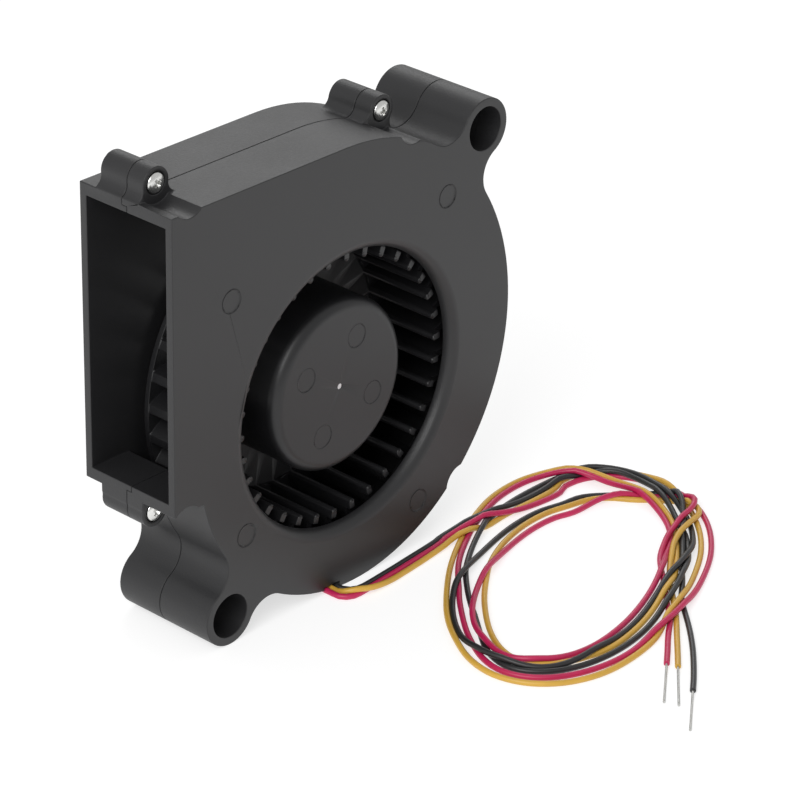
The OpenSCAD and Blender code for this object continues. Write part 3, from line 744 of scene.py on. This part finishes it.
def as_mesh(obj):
    """A curve object made a mesh object of the same name."""
    bpy.context.view_layer.update()
    view = obj.evaluated_get(bpy.context.evaluated_depsgraph_get())
    mesh = bpy.data.meshes.new_from_object(view)
    name = obj.name
    bpy.data.objects.remove(obj)
    mesh.shade_smooth()
    return link(name, mesh)


class BLOWER_OT_inner_parts(bpy.types.Operator):
    """Finishes the motor's parts, the board and the label"""
    bl_idname = "blower.inner_parts"
    bl_label = "Motor and board"

    def execute(self, context):
        steel = plated_metal("ground_steel", (.62, .62, .63), .22)
        brass = plated_metal("brass", (.7, .48, .18), .28)
        chip = smooth_plastic("chip_epoxy", (.02, .02, .021), .5)
        finishes = {
            steel: ["shaft", "preload_spring", "front_bearing_inner", "front_bearing_outer",
                    "rear_bearing_inner", "rear_bearing_outer", "bearing_balls", "shaft_clip"],
            brass: ["hub_insert", "shaft_washer", "bearing_tube"],
            chip: ["hall_sensor", "driver_chip", "board_capacitor", "board_resistors"],
            plated_metal("drawn_steel", (.42, .42, .44), .38): ["rotor_yoke"],
            plated_metal("solder", (.66, .66, .65), .2): ["lead_solder"],
            plated_metal("winding_copper", (.72, .3, .1), .3): ["stator_coils"],
            magnet_ferrite("magnet", (.045, .042, .042)): ["magnet_ring"],
            laminations("laminations", (.4, .41, .43)): ["stator_core"],
            smooth_plastic("natural_nylon", (.68, .66, .58), .45): ["front_insulator", "rear_insulator"],
            smooth_plastic("cap_plastic", (.03, .03, .032), .4): ["tube_cap"],
            board_mask("solder_mask", (.02, .12, .04)): ["circuit_board"],
            blank_label("label_film", (.66, .66, .66)): ["rear_label"],
        }
        for material, nodes in finishes.items():
            for node in nodes:
                data = frame["nodes"][node].data
                data.materials.clear()
                data.materials.append(material)
        return {"FINISHED"}


class BLOWER_OT_studio(bpy.types.Operator):
    """Sets the camera, the pale floor and the soft light"""
    bl_idname = "blower.studio"
    bl_label = "Studio"

    def execute(self, context):
        look = context.scene.blower_studio
        self.camera(context.scene, look)
        self.floor(look)
        self.light(context.scene, look)
        return {"FINISHED"}

    def camera(self, scene, look):
        aim = SPIN + Vector((13.7, -19.7, -5.9)) * MM
        flat = Vector((sin(look.heading), cos(look.heading), 0))
        ahead = flat * cos(look.tilt) - Vector((0, 0, sin(look.tilt)))
        right = ahead.cross(Vector((0, 0, 1))).normalized()
        up = right.cross(ahead)
        turned_right = right * cos(look.roll) + up * sin(look.roll)
        turned_up = up * cos(look.roll) - right * sin(look.roll)
        data = bpy.data.cameras.new("camera")
        data.lens = look.lens
        data.sensor_width = 36
        camera = link("camera", data)
        camera.matrix_world = Matrix((turned_right, turned_up, -ahead)).transposed().to_4x4()
        camera.location = aim - ahead * .9379
        scene.camera = camera

    def floor(self, look):
        bm = bmesh.new()
        bmesh.ops.create_grid(bm, x_segments=1, y_segments=1, size=6)
        mesh = bpy.data.meshes.new("floor")
        bm.to_mesh(mesh)
        bm.free()
        floor = link("floor", mesh)
        paper = Finish("floor_paper", Base_Color=(.45, .45, .45), Roughness=1, Specular_IOR_Level=0,
                       Emission_Color=(1, 1, 1), Emission_Strength=look.floor)
        mesh.materials.append(paper.material)

    def light(self, scene, look):
        world = bpy.data.worlds.new("room")
        world.use_nodes = True
        world.node_tree.nodes["Background"].inputs[0].default_value = (1, 1, 1, 1)
        world.node_tree.nodes["Background"].inputs[1].default_value = look.world
        scene.world = world
        scene.view_settings.view_transform = "Standard"
        for name, place, power, size in (("key", (-.95, -.35, .8), look.key, .7),
                                         ("back", (.9, .9, .9), .4 * look.key, .7)):
            data = bpy.data.lights.new(name, "AREA")
            data.energy = power
            data.size = size
            lamp = link(name, data)
            lamp.location = place
            lamp.rotation_euler = (SPIN - Vector(place)).to_track_quat("-Z", "Y").to_euler()


class BLOWER_PT_panel(bpy.types.Panel):
    """Buttons that make the blower's pieces"""
    bl_label = "DC blower fan"
    bl_idname = "BLOWER_PT_panel"
    bl_space_type = "VIEW_3D"
    bl_region_type = "UI"
    bl_category = "Blower"

    def draw(self, context):
        for group in (context.scene.blower_housing, context.scene.blower_leads, context.scene.blower_studio):
            for name in group.__annotations__:
                self.layout.prop(group, name)
        for operator in OPERATORS:
            self.layout.operator(operator.bl_idname)


OPERATORS = (BLOWER_OT_studio, BLOWER_OT_leads, BLOWER_OT_housing, BLOWER_OT_screws, BLOWER_OT_impeller,
             BLOWER_OT_inner_parts)
GROUPS = {"blower_housing": HousingSettings, "blower_leads": LeadSettings, "blower_studio": StudioSettings}


def register():
    for cls in (*GROUPS.values(), *OPERATORS, BLOWER_PT_panel):
        bpy.utils.register_class(cls)
    for name, group in GROUPS.items():
        setattr(bpy.types.Scene, name, PointerProperty(type=group))


def unregister():
    for name in GROUPS:
        delattr(bpy.types.Scene, name)
    for cls in reversed((*GROUPS.values(), *OPERATORS, BLOWER_PT_panel)):
        bpy.utils.unregister_class(cls)


def main():
    register()
    for operator in OPERATORS:
        group, name = operator.bl_idname.split(".")
        getattr(getattr(bpy.ops, group), name)()


if __name__ == "__main__":
    main()
